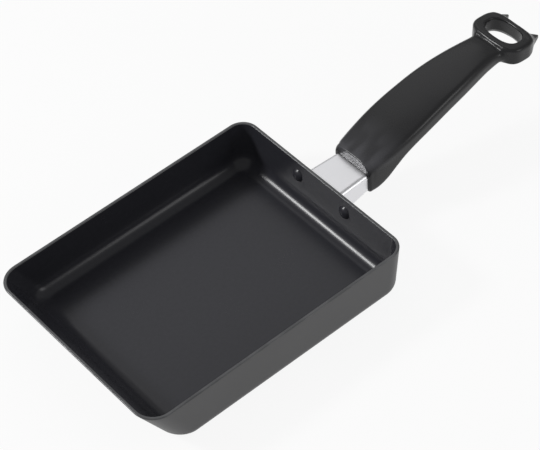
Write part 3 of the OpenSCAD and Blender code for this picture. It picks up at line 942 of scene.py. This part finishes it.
def blended_rings(last, steps):
    """Rings that carry the rounding's uneven end on to the first even section."""
    start = last[:, 0] - GRIP_FRONT / MM
    made = []
    for k in range(1, steps):
        t = k / steps
        s = start + (NOSE_END - start) * t
        exact = np.array([grip_section(float(v))[i] for i, v in enumerate(s)])
        drawn = last[:, 1:] + (grip_section(NOSE_END) - last[:, 1:]) * t
        made.append(ring_3d(s, drawn + (exact - drawn) * min(t * CATCH_UP, 1)))
    return made


# %% Loft of the grip
BODY_RINGS, NECK_RINGS, BLEND_RINGS = 104, 16, 4
INTO_EYE = 2.4


def loft(rings):
    """Vertices and faces through rings of equal length, closed at both ends."""
    count = len(rings[0])
    vertices = np.concatenate(rings)
    faces = [(i * count + k, i * count + (k + 1) % count,
              (i + 1) * count + (k + 1) % count, (i + 1) * count + k)
             for i in range(len(rings) - 1) for k in range(count)]
    last = len(vertices)
    return vertices, faces + [range(count - 1, -1, -1), range(last - count, last)]


def make_grip_bar():
    lip, nose = nose_rings()
    neck = GRIP_LENGTH - NECK_RUN
    places = [*np.linspace(NOSE_END, neck, BODY_RINGS),
              *np.linspace(neck, GRIP_LENGTH, NECK_RINGS)[1:], GRIP_LENGTH + INTO_EYE]
    body = [ring_3d(s, grip_section(float(s))) for s in places]
    rings = [ring_3d(GROOVE, lip)] + nose + blended_rings(nose[-1], BLEND_RINGS) + body
    piece = mesh_piece("grip_dressed", *loft([ring * MM for ring in rings]), phenolic)
    merge_doubles(piece)
    face_out(piece.data)
    return piece


grip = make_grip_bar()

# %% [markdown]
# ### The hanging eye
#
# At its end the grip opens into an oval eye with two small points on its far edge. The eye is a bar
# swept round an oval opening. Each ring of the sweep is a small profile: rounded above and below on
# the outside, rounded above and bevelled below on the opening's side.

# %% Eye
EYE_LENGTH, EYE_WIDTH, EYE_THICKNESS = 22.8, 37.6, 11.2
OPENING_LENGTH, OPENING_WIDTH, OPENING_SHIFT = 14.6, 24.7, 0.5
EYE_BOW, OPENING_BOW = 3.2, 2.6
EYE_UPPER, EYE_LOWER, EYE_RIM = 2.16, 1.3, 1.2
BEVEL_WIDTH, BEVEL_HEIGHT = 1.6, 2.6
EYE_TILT, EYE_LIFT = radians(5), 1.6
EYE_X = GRIP_FRONT / MM + GRIP_LENGTH + EYE_LENGTH / 2
EYE_Z = back_height(1) + EYE_LIFT - EYE_THICKNESS / 2
EYE_STEPS, EDGE_STEPS, UPPER_STEPS, WALL_STEPS = 160, 6, 8, 11
POINTS_APART, POINTS_REACH, POINT_TIP, POST_SIDES = 12.2, 5.6, 0.8, 20
POSTS = [(POINTS_REACH - POINT_TIP, 0, POINT_TIP, -1.3, 1.1), (-2.2, -3.6, 1.0, -3.8, 3.8),
         (-3.65, 2.9, 1.0, -3.8, 3.8)]


def oval(a, b, bow, angle):
    c, s = cos(angle), sin(angle)
    return np.array([a * copysign(abs(c) ** (2 / bow), c),
                     b * copysign(abs(s) ** (2 / bow), s)])


def eye_profile():
    """Points (side, inset, height): side 1 is the outer wall, side 0 the opening's."""
    h = EYE_THICKNESS / 2

    def edge(side, radius, level, up, steps):
        return [(side, rise, level - up * run) for run, rise in quarter_round(radius, steps)]

    levels = np.linspace(h - EYE_UPPER, EYE_LOWER - h, WALL_STEPS)[1:-1]
    return (edge(1, EYE_LOWER, -h, -1, EDGE_STEPS)
            + [(0, BEVEL_WIDTH, -h), (0, 0, BEVEL_HEIGHT - h)]
            + edge(0, EYE_RIM, h, 1, EDGE_STEPS) + edge(1, EYE_UPPER, h, 1, UPPER_STEPS)[::-1]
            + [(1, 0, level) for level in levels])


def to_handle(points):
    """Eye points turned by its tilt and put at the grip's end."""
    points = np.asarray(points, float)
    c, s = cos(EYE_TILT), sin(EYE_TILT)
    x = points[:, 0] * c + points[:, 2] * s + EYE_X
    z = points[:, 2] * c - points[:, 0] * s + EYE_Z
    return np.column_stack([x, points[:, 1], z])


def make_eye():
    rings = []
    for k in range(EYE_STEPS):
        angle = 2 * pi * k / EYE_STEPS
        outer = oval(EYE_LENGTH / 2, EYE_WIDTH / 2, EYE_BOW, angle)
        inner = oval(OPENING_LENGTH / 2, OPENING_WIDTH / 2, OPENING_BOW, angle)
        inner = inner + [OPENING_SHIFT, 0]
        across = (outer - inner) / np.linalg.norm(outer - inner)
        rings.append(to_handle([
            (*(outer - across * inset if side else inner + across * inset), height)
            for side, inset, height in eye_profile()]))
    count = len(rings[0])
    faces = [(i * count + (k + 1) % count, (i + 1) % EYE_STEPS * count + (k + 1) % count,
              (i + 1) % EYE_STEPS * count + k, i * count + k)
             for i in range(EYE_STEPS) for k in range(count)]
    eye = mesh_piece("eye", np.concatenate(rings) * MM, faces, phenolic)
    face_out(eye.data)
    return eye


def make_point(side, inset=0.0):
    """One of the two points: the hull of upright posts (x, y, radius, bottom, top)."""
    points = []
    for x, y, radius, low, high in POSTS:
        for k in range(POST_SIDES):
            angle = 2 * pi * k / POST_SIDES
            for z in (low + inset, high - inset):
                points.append((EYE_LENGTH / 2 + x + (radius - inset) * cos(angle),
                               side * (POINTS_APART + y + (radius - inset) * sin(angle)), z))
    shape = bmesh.new()
    for point in to_handle(points) * MM:
        shape.verts.new(point)
    bmesh.ops.convex_hull(shape, input=shape.verts)
    bmesh.ops.delete(shape, geom=[v for v in shape.verts if not v.link_faces], context="VERTS")
    bmesh.ops.recalc_face_normals(shape, faces=shape.faces)
    return shape_piece("point", shape, phenolic)


# %% [markdown]
# The bar, the eye and the points overlap as separate shells. A Boolean union would leave hard
# creases and thin splinters where they meet, and a moulded grip has neither. So the far end is
# turned into one even skin by a voxel remesh, and then every point of the skin is put back on the
# exact shapes. Near a crease the distances to two shapes are both small, and a smooth minimum of
# the two puts the point on a fillet between them. The rest of the bar keeps its own even loft,
# which a band of faces ties to the skin.

# %% Distances to closed shapes
TOUCHING, STRAIGHT = 0.002 * MM, 0.95
TOP_CREASE, SIDE_CREASE, TOP_HALF = 1.3 * MM, 3.0 * MM, 7 * MM


def distance_tree(piece):
    mesh = piece.data
    faces = [face.vertices[:] for face in mesh.polygons]
    return BVHTree.FromPolygons([v.co for v in mesh.vertices], faces)


def signed_distance(shape, point):
    """Distance to a closed shape with its rounding, negative inside, and the way out.

    A point inside lies straight behind a face. One that has an edge nearest lies outside, also
    where a sharp edge puts it behind the plane of a face.
    """
    tree, rounding = shape
    nearest, normal, _, _ = tree.find_nearest(point)
    away = point - nearest
    if away.length < TOUCHING:
        return -rounding, normal
    side = -1 if away.dot(normal) < -STRAIGHT * away.length else 1
    return side * away.length - rounding, side * away.normalized()


def blend_out(shapes, point):
    """The point moved on to the smooth union of the shapes: tight creases on top, wide beside."""
    beside = min(max((abs(point.y) - TOP_HALF) / TOP_HALF * 2, 0), 1)
    reach = TOP_CREASE + (SIDE_CREASE - TOP_CREASE) * beside
    for _ in range(3):
        distances = [signed_distance(shape, point) for shape in shapes]
        (near, way), (far, other_way) = sorted(distances, key=lambda found: found[0])[:2]
        blend = max(reach - abs(far - near), 0) / reach
        way = (way * (1 - blend / 2) + other_way * blend / 2).normalized()
        point = point - way * (near - blend * blend * reach / 4)
    return point


# %% One skin over the far end
VOXEL = 0.34 * MM
BAR_END = 7  # length of the bar under the skin
EYE_BEGINS = (GRIP_FRONT / MM + GRIP_LENGTH - BAR_END) * MM
SMOOTH_FROM = EYE_BEGINS - 2 * MM


def part_of(piece, x, keep_far):
    """The part of a piece on one side of a plane across the handle."""
    part = bmesh.new()
    part.from_mesh(piece.data)
    everything = part.verts[:] + part.edges[:] + part.faces[:]
    bmesh.ops.bisect_plane(part, geom=everything, plane_co=(x, 0, 0), plane_no=(1, 0, 0),
                           clear_inner=keep_far, clear_outer=not keep_far)
    return part


def rims(part):
    return [edge for edge in part.edges if edge.is_boundary]


def one_skin(bar, others, shapes):
    """Join closed shells into the bar; where the eye begins they get one skin with fillets."""
    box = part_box("grip")
    far_end = add_object("far_end", bar.data.copy())
    shell = part_of(bar, EYE_BEGINS - 4 * VOXEL, True)
    bmesh.ops.holes_fill(shell, edges=rims(shell))
    for piece in others:
        shell.from_mesh(piece.data)
        bpy.data.objects.remove(piece)
    bmesh.ops.recalc_face_normals(shell, faces=shell.faces)
    keep_as(shell, far_end)
    modify(far_end, "REMESH", mode="VOXEL", voxel_size=VOXEL)
    for vertex in far_end.data.vertices:
        if vertex.co.x > EYE_BEGINS - 2 * VOXEL:
            point = blend_out(shapes, vertex.co.copy())
            vertex.co = [min(max(c, low), high) for c, low, high in zip(point, *box)]
    keep_as(part_of(far_end, EYE_BEGINS, True), far_end)
    whole = part_of(bar, EYE_BEGINS - VOXEL, False)
    whole.from_mesh(far_end.data)
    bmesh.ops.bridge_loops(whole, edges=rims(whole))
    bmesh.ops.recalc_face_normals(whole, faces=whole.faces)
    keep_as(whole, bar)
    bpy.data.objects.remove(far_end)


# %% Way for the screw, from below
SCREW_X = GRIP_FRONT + 8 * MM
SCREW_WAY = 4.8 * MM
SEAT_LEVEL = 22.3 * MM
BELOW_GRIP = 5 * MM


def make_screw_way():
    """A cylinder that reaches up to the washer's seat."""
    shape = bmesh.new()
    depth = SEAT_LEVEL - BELOW_GRIP
    middle = Matrix.Translation((SCREW_X, 0, SEAT_LEVEL - depth / 2))
    bmesh.ops.create_cone(shape, cap_ends=True, segments=64, radius1=SCREW_WAY,
                          radius2=SCREW_WAY, depth=depth, matrix=middle)
    return shape_piece("screw_way", shape, phenolic)


# %% Grip with its eye
ROUNDING = 0.45

eye = make_eye()
shapes = [(distance_tree(piece), 0.0) for piece in (grip, eye)]
for side in (1, -1):
    core = make_point(side, ROUNDING)
    shapes.append((distance_tree(core), ROUNDING * MM))
    bpy.data.objects.remove(core)
screw_way = make_screw_way()
modify(grip, "BOOLEAN", operation="DIFFERENCE", solver="EXACT", object=screw_way)
bpy.data.objects.remove(screw_way)
one_skin(grip, [eye, make_point(1), make_point(-1)], shapes)
grip.data.polygons.foreach_set("use_smooth", [True] * len(grip.data.polygons))
grip.data.set_sharp_from_angle(angle=SHARP)
sharp = grip.data.attributes["sharp_edge"].data
for edge in grip.data.edges:
    if grip.data.vertices[edge.vertices[0]].co.x > SMOOTH_FROM:
        sharp[edge.index].value = False
grip.data.update()
face_out(grip.data)
print("grip has", len(grip.data.polygons), "faces")

# %% [markdown]
# ## The floor and the light
#
# The pan stands on a plain pale floor in soft studio light. The floor's white comes from its own
# material, where the camera and mirror-like reflections look at it, and not from more light on the
# pan, while a part of the lit floor stays in the mix so that the pan keeps its shadow.

# %% Floor
WHITE = (1, 1, 1, 1)
FLOOR_GREY = (0.8, 0.8, 0.8, 1)
FLOOR_WHITENESS = 0.9
FLOOR_REACH, FLOOR_LEVEL = 3.0, -0.2 * MM


def make_floor():
    finish = bpy.data.materials.new("pale_floor")
    graph = empty_graph(finish)
    rays = [graph.node("ShaderNodeLightPath", out=f"Is {kind} Ray")
            for kind in ("Camera", "Glossy", "Transmission")]
    seen = rays[0].at_least(rays[1]).at_least(rays[2])
    lit = graph.node("ShaderNodeBsdfDiffuse", {"Color": FLOOR_GREY})
    white = graph.node("ShaderNodeEmission", {"Color": WHITE, "Strength": 1.0})
    mixed = graph.node("ShaderNodeMixShader", {0: seen * FLOOR_WHITENESS, 1: lit, 2: white})
    graph.node("ShaderNodeOutputMaterial", {"Surface": mixed})
    corners = [(x * FLOOR_REACH, y * FLOOR_REACH, FLOOR_LEVEL)
               for x, y in ((-1, -1), (1, -1), (1, 1), (-1, 1))]
    return mesh_piece("floor", corners, [(0, 1, 2, 3)], finish, smooth=False)


floor = make_floor()
print("floor reaches", FLOOR_REACH, "m each way")

# %% World and lamps
WORLD_LIGHT = 0.39
LAMPS = {  # direction from the pan, distance, width and height in metres, brightness of its face
    "key": ((-0.585, 0.536, 0.609), 1.3, 0.22, 0.22, 50),
    "back_panel": ((0.393, 0.544, 0.742), 1.3, 0.8, 0.8, 0.53),
    "front_panel": ((0.5, -0.75, 0.42), 0.7, 0.3, 0.25, 2.1)}


def make_world():
    world = bpy.data.worlds.new("studio")
    graph = empty_graph(world)
    seen = graph.node("ShaderNodeLightPath", out="Is Camera Ray")
    dim, white = (graph.node("ShaderNodeBackground", {"Color": WHITE, "Strength": strength})
                  for strength in (WORLD_LIGHT, 1.0))
    mixed = graph.node("ShaderNodeMixShader", {0: seen, 1: dim, 2: white})
    graph.node("ShaderNodeOutputWorld", {"Surface": mixed})
    bpy.context.scene.world = world


def softbox(name, direction, distance, width, height, brightness):
    """A flat lamp that faces the pan. Its power follows from how bright its face is."""
    data = bpy.data.lights.new(name, "AREA")
    data.shape = "RECTANGLE"
    data.size, data.size_y = width, height
    data.energy = brightness * 4 * width * height
    lamp = add_object(name, data)
    way = Vector(direction).normalized()
    lamp.location = way * distance
    lamp.rotation_mode = "QUATERNION"
    lamp.rotation_quaternion = way.to_track_quat("Z", "Y")
    print(name, "gives", round(data.energy, 2), "W")


make_world()
for name, measures in LAMPS.items():
    softbox(name, *measures)

bpy.context.scene.view_settings.view_transform = "Standard"

# %% [markdown]
# ## Everything in its place
#
# The last step says what each piece stands for. A dressed piece replaces its measured solid, which
# stays in the physics model but isn't shown. The nut, the screw and its washer sit inside the grip
# and keep their measured shapes, with zinc on them.

# %% Ride, replace, finish
for piece, node, slot in (
        (pan, "pan_body", "pan_body"), (bracket, "handle_bracket", "bracket"),
        (grip, "grip", "grip"), *((rivet, name, "rivets") for name, rivet in rivets.items())):
    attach(piece, "root")
    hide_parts(node)
    print(piece.name, "stands for", node)

for node in ("weld_nut", "grip_screw", "spring_washer"):
    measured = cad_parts[node]
    measured.data.materials.clear()
    measured.data.materials.append(zinc)
